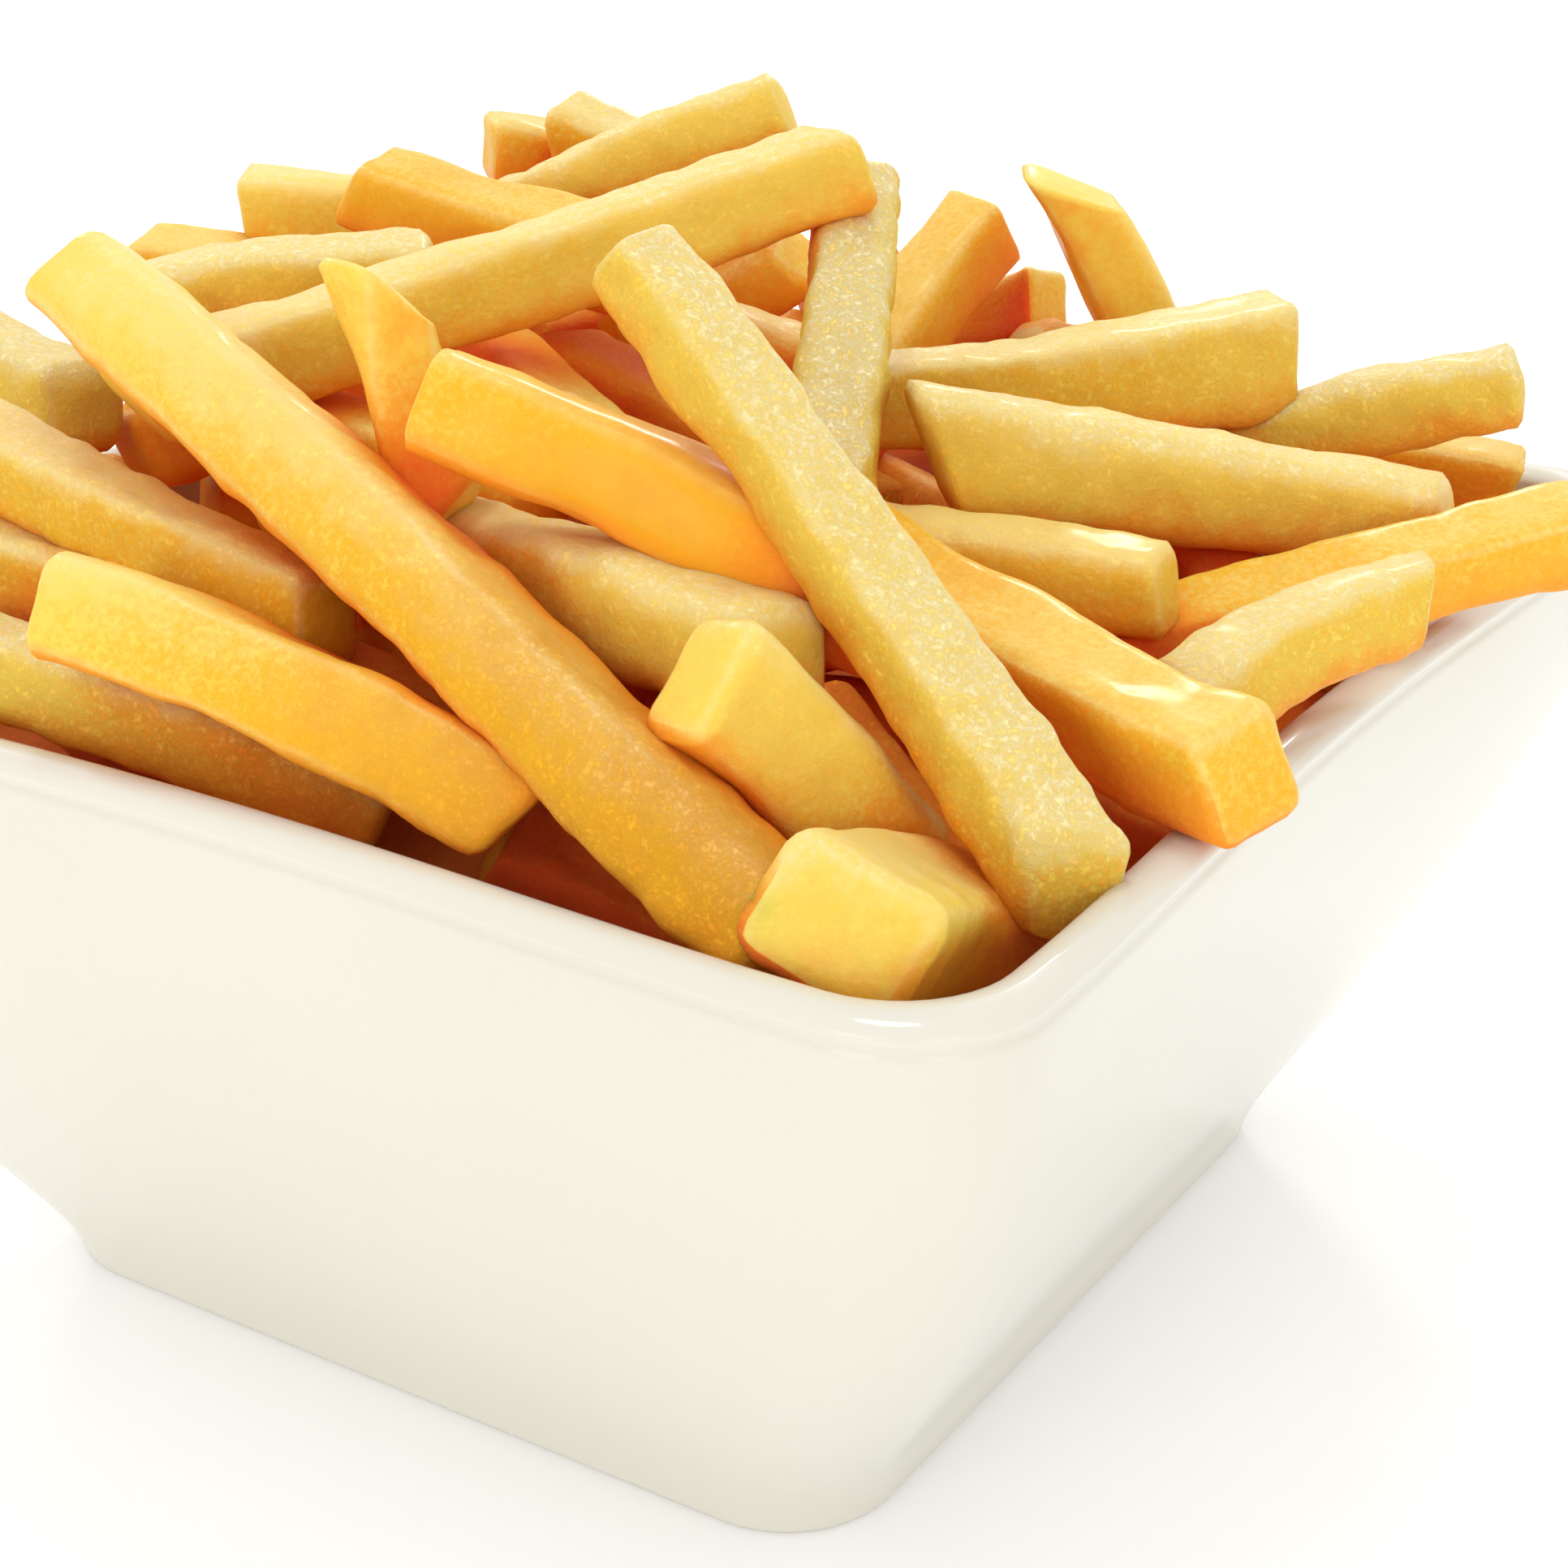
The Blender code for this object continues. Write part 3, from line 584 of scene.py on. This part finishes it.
def make_fries(name, fries, tree):
    """One piece of many fries, with what its finish reads at every point."""
    dice = np.random.default_rng(len(fries))
    whole = bmesh.new()
    felt_by = dict(tone=[], crust=[], edge=[], deep=[], rise=[])
    for fry in fries:
        bm = blank(fry.length)
        grid = np.array([v.co for v in bm.verts])
        points, edge = fry.skin(grid)
        for v, co in zip(bm.verts, points):
            v.co = co
        one = bpy.data.meshes.new("fry")
        bm.to_mesh(one)
        bm.free()
        whole.from_mesh(one)
        bpy.data.meshes.remove(one)
        share = (grid[:, 2] + 1) / 2
        felt_by["tone"].append(between(fry.tone, share))
        felt_by["crust"].append(between(fry.crust, share))
        felt_by["edge"].append(edge)
        over = points[:, 2] - fry.centre(share)[0][:, 2]
        felt_by["rise"].append(np.clip(over / (fry.thick / 2), -1, 1))
        # painted shade, from how much other fries and the dish hide each point
        felt_by["deep"].append(felt(grid, *occlusion_for_shade(fry, tree, dice)) - fry.lift)
    piece = as_piece(name, whole)
    for title, values in felt_by.items():
        layer = piece.data.attributes.new(title, "FLOAT", "POINT")
        layer.data.foreach_set("value", np.concatenate(values).astype(np.float32))
    return piece


def as_piece(name, bm):
    """A smooth object at the origin, made of bm."""
    bmesh.ops.recalc_face_normals(bm, faces=bm.faces)
    mesh = bpy.data.meshes.new(name)
    bm.to_mesh(mesh)
    bm.free()
    mesh.shade_smooth()
    piece = bpy.data.objects.new(name, mesh)
    bpy.context.scene.collection.objects.link(piece)
    return piece


# ---- The dish and the core ----------------------------------------------------------------------


def climb(z):
    """0 at the foot, 1 at the lip, with a soft turn between foot and wall."""
    up = (z - FOOT_HEIGHT) / (DISH_HEIGHT - FOOT_HEIGHT)
    return min(max((up + math.hypot(up, FOOT_SOFT) - FOOT_INSET) / 2, 0), 1)


def outer_section(z):
    """Half side, corner radius and hollow of the dish's outside at height z."""
    up = climb(z)
    lean = 1 - (1 - up) ** FLARE_POWER
    half = BASE_SIDE / 2 + (RIM_SIDE - BASE_SIDE) / 2 * lean
    return half, BASE_CORNER + (RIM_CORNER - BASE_CORNER) * lean, SIDE_HOLLOW * up


def grooved(z):
    """The outside, with the faint line under the lip."""
    half, corner, hollow = outer_section(z)
    away = (z - DISH_HEIGHT + GROOVE_UNDER) / GROOVE_WIDE
    inset = LIP_GROOVE * math.exp(-(away**2))
    return half - inset, corner - inset, hollow


def inner_section(z):
    """The same for the inside, which the wall's thickness sets in."""
    half, corner, hollow = outer_section(z)
    swell = LIP_SWELL * max(0, 1 - (DISH_HEIGHT - WALL / 2 - z) / SWELL_DEEP) ** 2
    thick = WALL * (1 + WALL_EXTRA * (1 - climb(z)) ** 2) + swell
    return half - thick, corner - thick / 2, hollow


def section_points(half, corner, hollow, z, middle=(0, 0)):
    """One square ring with round corners, whose sides are drawn in by hollow at their middle."""
    points = []
    for quarter in range(4):
        turn = Matrix.Rotation(math.radians(90 * quarter), 3, "Z")
        straight = half - corner
        for step in range(SIDE_STEPS):
            share = -1 + 2 * step / SIDE_STEPS
            inset = hollow * (1 - share**2) ** 2
            points.append(turn @ Vector((half - inset, share * straight, 0)))
        for step in range(CORNER_STEPS):
            angle = math.radians(90 * step / CORNER_STEPS)
            reach = Vector((math.cos(angle), math.sin(angle), 0)) * corner
            points.append(turn @ (Vector((straight, straight, 0)) + reach))
    return [p + Vector((*middle, z)) for p in points]


def loft(rings):
    """A closed skin through rings of points, with its first and its last ring filled."""
    bm = bmesh.new()
    before = None
    for ring in rings:
        points = [bm.verts.new(p) for p in ring]
        edges = [bm.edges.new(pair) for pair in zip(points, points[1:] + points[:1])]
        if before:
            bmesh.ops.bridge_loops(bm, edges=before + edges)
        else:
            bm.faces.new(points)
        before = edges
    bm.faces.new(points)
    return bm


def dish_rings():
    """From under the foot, up the outside, over the lip and down to the floor inside."""
    half, corner, _ = outer_section(FOOT_EDGE)
    rings = []
    for step in range(FOOT_STEPS + 1):
        angle = math.radians(90 * step / FOOT_STEPS)
        inset = FOOT_EDGE * (1 - math.sin(angle))
        rings.append((half - inset, corner - inset, 0, FOOT_EDGE * (1 - math.cos(angle))))
    lip = DISH_HEIGHT - WALL / 2
    groove_foot = DISH_HEIGHT - GROOVE_UNDER - GROOVE_REACH * GROOVE_WIDE
    for step in range(WALL_STEPS + 1):
        z = WALL_FROM + (groove_foot - WALL_FROM) * (step / WALL_STEPS) ** WALL_SPREAD
        rings.append((*grooved(z), z))
    for step in range(1, GROOVE_STEPS + 1):
        z = groove_foot + (lip - groove_foot) * step / GROOVE_STEPS
        rings.append((*grooved(z), z))
    half, corner, hollow = outer_section(lip)
    for step in range(1, LIP_STEPS + 1):
        angle = math.pi * step / LIP_STEPS
        out = (WALL + LIP_SWELL) / 2 * (math.cos(angle) - 1)
        rings.append((half + out, corner + out / 2, hollow, lip + WALL / 2 * math.sin(angle)))
    bottom = FLOOR + FLOOR_FILLET
    for step in range(1, WALL_STEPS + 1):
        z = lip - (lip - bottom) * step / WALL_STEPS
        rings.append((*inner_section(z), z))
    half, corner, hollow = inner_section(bottom)
    for step in range(1, FILLET_STEPS + 1):
        angle = math.radians(90 * step / FILLET_STEPS)
        inset = FLOOR_FILLET * (1 - math.cos(angle))
        rings.append((half - inset, corner, hollow, bottom - FLOOR_FILLET * math.sin(angle)))
    return [section_points(*ring) for ring in rings]


def core_rings():
    """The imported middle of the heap, under the fries that show."""
    rings = []
    bottom = FLOOR + FLOOR_FILLET
    edge = DISH_HEIGHT - CORE_EDGE
    for z in (FLOOR + CORE_GAP, bottom, (bottom + edge) / 2, edge):
        half, corner, hollow = inner_section(max(z, bottom))
        inset = CORE_GAP + (FLOOR_FILLET if z < bottom else 0)
        rings.append((half - inset, corner, hollow, z, (0, 0)))
    widest, rise = rings[-1][0], HEAP_TOP - CORE_UNDER + CORE_EDGE
    for step in range(1, CORE_STEPS):
        share = step / CORE_STEPS
        middle = (HEAP_MIDDLE[0] * share, HEAP_MIDDLE[1] * share)
        half = widest * (1 - share)
        corner = half * between(CORE_ROUND, share)
        height = edge + rise * (1 - (1 - share) ** 2)
        rings.append((half, corner, SIDE_HOLLOW * (1 - share), height, middle))
    return [section_points(*ring) for ring in rings]


# ---- Finishes -----------------------------------------------------------------------------------


class Finish:
    """A material, with short ways to add and join its nodes."""

    def __init__(self, name):
        self.material = bpy.data.materials.new(name)
        self.material.use_nodes = True
        self.tree = self.material.node_tree
        self.shader = self.tree.nodes["Principled BSDF"]

    def add(self, kind, **settings):
        node = self.tree.nodes.new(kind)
        for key, value in settings.items():
            setattr(node, key, value)
        return node

    def join(self, given, taken):
        self.tree.links.new(given, taken)

    def put(self, socket, value):
        """Joins another node's output to the socket, or sets it to a number."""
        if isinstance(value, bpy.types.NodeSocket):
            self.join(value, socket)
        else:
            socket.default_value = value

    def set(self, title, value):
        """Joins or sets one of the finish's own values."""
        self.put(self.shader.inputs[title], value)

    def place(self):
        return self.add("ShaderNodeTexCoord").outputs["Object"]

    def felt(self, title):
        """What the fry feels at this point, under the given title."""
        return self.add("ShaderNodeAttribute", attribute_name=title).outputs["Fac"]

    def upward(self):
        """How far the surface faces up."""
        split = self.add("ShaderNodeSeparateXYZ")
        self.join(self.add("ShaderNodeNewGeometry").outputs["Normal"], split.inputs[0])
        return split.outputs["Z"]

    def noise(self, scale, detail=2.0, roughness=0.5):
        """Noise from 0 to 1, with about this many clouds to the metre."""
        node = self.add("ShaderNodeTexNoise")
        self.join(self.place(), node.inputs["Vector"])
        node.inputs["Scale"].default_value = scale
        node.inputs["Detail"].default_value = detail
        node.inputs["Roughness"].default_value = roughness
        return node.outputs["Fac"]

    def spread(self, value, low, high, to_low, to_high):
        """Spreads values from low..high over to_low..to_high."""
        node = self.add("ShaderNodeMapRange", interpolation_type="SMOOTHSTEP")
        self.put(node.inputs["Value"], value)
        ends = {"From Min": low, "From Max": high, "To Min": to_low, "To Max": to_high}
        for title, number in ends.items():
            node.inputs[title].default_value = number
        return node.outputs["Result"]

    def sum(self, operation, a, b, clamp=False):
        node = self.add("ShaderNodeMath", operation=operation, use_clamp=clamp)
        self.put(node.inputs[0], a)
        self.put(node.inputs[1], b)
        return node.outputs[0]

    def plus(self, a, b):
        return self.sum("ADD", a, b)

    def times(self, a, b, clamp=False):
        return self.sum("MULTIPLY", a, b, clamp)

    def less(self, a, b, clamp=False):
        return self.sum("SUBTRACT", a, b, clamp)

    def mix(self, share, a, b):
        node = self.add("ShaderNodeMix", data_type="RGBA")
        self.put(node.inputs["Factor"], share)
        for title, colour in (("A", a), ("B", b)):
            socket = [s for s in node.inputs if s.name == title and s.type == "RGBA"][0]
            self.put(socket, colour if isinstance(colour, bpy.types.NodeSocket) else (*colour, 1))
        return [s for s in node.outputs if s.type == "RGBA"][0]

    def bump(self, height, depth, strength, under=None):
        node = self.add("ShaderNodeBump")
        self.join(height, node.inputs["Height"])
        node.inputs["Distance"].default_value = depth
        self.put(node.inputs["Strength"], strength)
        if under:
            self.join(under, node.inputs["Normal"])
        return node.outputs["Normal"]


def fried_potato(name):
    """Skin that reads what each fry feels.

    Its tone turns it from pale to golden, and past 1 to brown. Faces up get a painted cream light on
    the crust, its edges turn cream, and where it is hidden or faces down, painted shade turns it orange
    to red.
    """
    f = Finish(name)
    tone, crust, edge, deep, rise = map(f.felt, ("tone", "crust", "edge", "deep", "rise"))
    patches = f.spread(f.noise(*PATCH_NOISE), 0.3, 0.7, -PATCHES, PATCHES)
    mottle = f.spread(f.noise(*MOTTLE_NOISE), 0.3, 0.7, -MOTTLE, MOTTLE)
    specks = f.spread(f.noise(*SPECK_NOISE), 0.38, 0.62, -SPECKS, SPECKS)

    # how far the skin faces up or down, with an uneven border between the two, for painted light on
    # faces up and painted shade on faces down
    facing = f.plus(f.times(f.upward(), 0.6), f.times(rise, 0.5))
    facing = f.plus(facing, f.plus(patches, mottle))
    above = f.spread(facing, *LIT_FACES_UP)
    below = f.spread(facing, *SHADE_FACES_DOWN)
    # painted shade, less on faces up, broken up by the noise
    deep = f.less(deep, f.times(above, 0.15))
    deep = f.plus(deep, f.times(f.plus(mottle, specks), 0.14))

    # painted light: faces up are paler
    golden = f.less(f.plus(tone, f.plus(specks, patches)), f.times(above, 0.3), clamp=True)
    colour = f.mix(golden, PALE, GOLDEN)
    # painted highlight: cream specks on crusty faces up
    crust_and_top_light = f.times(f.less(f.plus(crust, 0.2), f.times(golden, 0.5)), above)
    light = f.times(f.spread(specks, *SPECKS_ON_LIT_TOPS), crust_and_top_light, clamp=True)
    colour = f.mix(light, colour, CREAM)
    # paler cream towards the long edges
    colour = f.mix(f.spread(edge, *EDGES_CREAM), colour, CREAM)
    browned = f.plus(tone, f.plus(patches, mottle))
    colour = f.mix(f.spread(browned, *BROWNS), colour, BROWNED)
    # painted shade: faces turned down are orange
    colour = f.mix(below, colour, PAINTED_SHADE_ORANGE)
    # painted shade: hidden places orange, then red
    colour = f.mix(f.spread(deep, *SHADE_TO_ORANGE), colour, PAINTED_SHADE_ORANGE)
    colour = f.mix(f.spread(deep, *SHADE_TO_RED), colour, PAINTED_SHADE_RED)

    oil = f.times(f.spread(deep, *STAYS_OILY), f.less(1.2, crust), clamp=True)
    f.set("Coat Weight", oil)
    f.set("Base Color", colour)
    f.set("Roughness", 0.5)
    f.set("Specular IOR Level", 0.1)
    f.set("Coat Roughness", 0.2)
    f.set("Subsurface Weight", 0.3)
    f.set("Subsurface Radius", (1.0, 0.45, 0.12))
    f.set("Subsurface Scale", 2 * MM)
    rough = f.bump(mottle, 0.8 * MM, f.plus(f.times(crust, 0.45), 0.15))
    fine = f.bump(specks, 0.15 * MM, f.plus(f.times(crust, 0.7), 0.3), under=rough)
    f.set("Normal", fine)
    return f.material


def core_painted_shade():
    """What shows of the core between the fries is painted the deep red-orange of fries in shade."""
    f = Finish("core_painted_shade")
    f.set("Base Color", f.mix(f.noise(150, 4), CORE_SHADE_DARK, CORE_SHADE_LIGHT))
    f.set("Roughness", 0.6)
    f.set("Normal", f.bump(f.noise(300, 4), 1 * MM, 0.8))
    return f.material


def cream_glaze():
    """Thick glaze with a clear gloss over it."""
    f = Finish("cream_glaze")
    f.set("Base Color", f.mix(f.noise(22, 2), GLAZE_DARK, GLAZE_LIGHT))
    f.set("Roughness", 0.3)
    f.set("Specular IOR Level", 0.1)
    f.set("Coat Weight", 0.6)
    f.set("Coat Roughness", 0.06)
    f.set("Subsurface Weight", 0.1)
    f.set("Subsurface Radius", (1.0, 0.9, 0.7))
    f.set("Subsurface Scale", 1.5 * MM)
    return f.material


# ---- Room, light and camera ---------------------------------------------------------------------


def make_floor():
    bm = bmesh.new()
    bmesh.ops.create_grid(bm, x_segments=1, y_segments=1, size=FLOOR_HALF)
    floor = as_piece("floor", bm)
    f = Finish("pale_floor")
    f.set("Base Color", f.mix(f.noise(3, 2), FLOOR_DARK, FLOOR_LIGHT))
    f.set("Roughness", 0.7)
    f.set("Emission Color", WHITE)
    f.set("Emission Strength", FLOOR_GLOW)
    floor.data.materials.append(f.material)


def soft_light(name, place, size, power):
    light = bpy.data.lights.new(name, "AREA")
    light.shape = "DISK"
    light.size = size
    light.energy = power
    lamp = bpy.data.objects.new(name, light)
    lamp.location = place
    away = Vector(place) - Vector(LIGHTS_FACE)
    lamp.rotation_euler = away.to_track_quat("Z", "Y").to_euler()
    bpy.context.scene.collection.objects.link(lamp)


def make_world():
    world = bpy.data.worlds.new("bright_room")
    world.use_nodes = True
    background = world.node_tree.nodes["Background"]
    background.inputs["Color"].default_value = WHITE
    background.inputs["Strength"].default_value = WORLD_STRENGTH
    bpy.context.scene.world = world
    bpy.context.scene.view_settings.view_transform = "Standard"


def make_camera():
    eye = bpy.data.cameras.new("eye")
    eye.lens = EYE_LENS
    eye.sensor_width = EYE_SENSOR
    camera = bpy.data.objects.new("eye", eye)
    camera.location = EYE_PLACE
    camera.rotation_euler = (math.radians(EYE_TILT), 0, math.radians(EYE_TURN))
    bpy.context.scene.collection.objects.link(camera)
    bpy.context.scene.camera = camera


# ---- The whole -----------------------------------------------------------------------------------


def what_hides(fries, dish):
    """All the fries as plain bars, and the dish, for rays to meet."""
    bars = bmesh.new()
    for fry in fries:
        bar = coarse_bar(fry)
        mesh = bpy.data.meshes.new("bar")
        bar.to_mesh(mesh)
        bar.free()
        bars.from_mesh(mesh)
        bpy.data.meshes.remove(mesh)
    bars.from_mesh(dish.data)
    tree = BVHTree.FromBMesh(bars)
    bars.free()
    return tree


def main():
    make_camera()
    make_world()
    make_floor()
    for row in LIGHTS:
        soft_light(*row)

    dish = as_piece("square_dish", loft(dish_rings()))
    dish.data.materials.append(cream_glaze())
    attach(dish, "root")
    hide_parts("dish")

    laid = laid_fries()
    lines = np.array([along(start, end) for start, end, *_ in laid])
    rest = further_fries(lines, np.array([thick for _, _, thick, _ in laid]))
    fries = [Fry(*row, number) for number, row in enumerate(laid + rest)]
    tree = what_hides(fries, dish)
    potato = fried_potato("fried_potato")
    groups = {"fries_on_top": fries[: len(laid)], "fries_further_in": fries[len(laid) :]}
    for name, group in groups.items():
        piece = make_fries(name, group, tree)
        piece.data.materials.append(potato)
        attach(piece, "root")
        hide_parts("fries_heap")
    core = as_piece("packed_core", loft(core_rings()))
    core.data.materials.append(core_painted_shade())
    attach(core, "root")
    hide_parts("fries_heap")


main()
